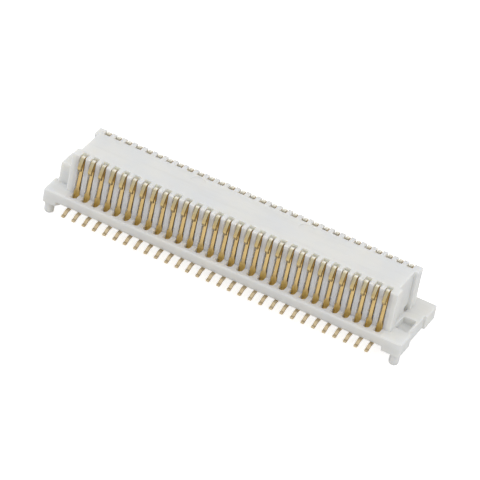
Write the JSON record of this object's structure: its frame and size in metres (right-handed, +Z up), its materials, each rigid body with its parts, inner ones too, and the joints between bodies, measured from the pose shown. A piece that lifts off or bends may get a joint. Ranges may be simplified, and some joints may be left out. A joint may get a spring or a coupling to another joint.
{
  "type": "board-to-board connector plug",
  "caption": "Long rectangular surface-mount connector plug: slotted upright tongue with gold spring contacts on both sides, thin base, thicker end ears and locating posts.",
  "frame": {"origin": "middle of the contact field on the circuit board's surface, level with the undersides of the ears", "axes": "+X along the contact rows towards the ear with the pocket, +Y towards the back, away from the locating posts, +Z up from the board towards the mating face"},
  "size_m": [0.0206, 0.0054, 0.0038],
  "materials": {
    "housing": "fine matt moulded liquid-crystal polymer, off-white",
    "contact": "thin gold plating over copper alloy, satin"
  },
  "bodies": {
    "root": {"housing": "housing", "contacts_01": "contact", "contacts_02": "contact", "contacts_03": "contact", "contacts_04": "contact", "contacts_05": "contact", "contacts_06": "contact", "contacts_07": "contact", "contacts_08": "contact", "contacts_09": "contact", "contacts_10": "contact", "contacts_11": "contact", "contacts_12": "contact", "contacts_13": "contact", "contacts_14": "contact", "contacts_15": "contact", "contacts_16": "contact", "contacts_17": "contact", "contacts_18": "contact", "contacts_19": "contact", "contacts_20": "contact", "contacts_21": "contact", "contacts_22": "contact", "contacts_23": "contact", "contacts_24": "contact", "contacts_25": "contact", "contacts_26": "contact", "contacts_27": "contact", "contacts_28": "contact", "contacts_29": "contact", "contacts_30": "contact"}
  },
  "joints": []
}
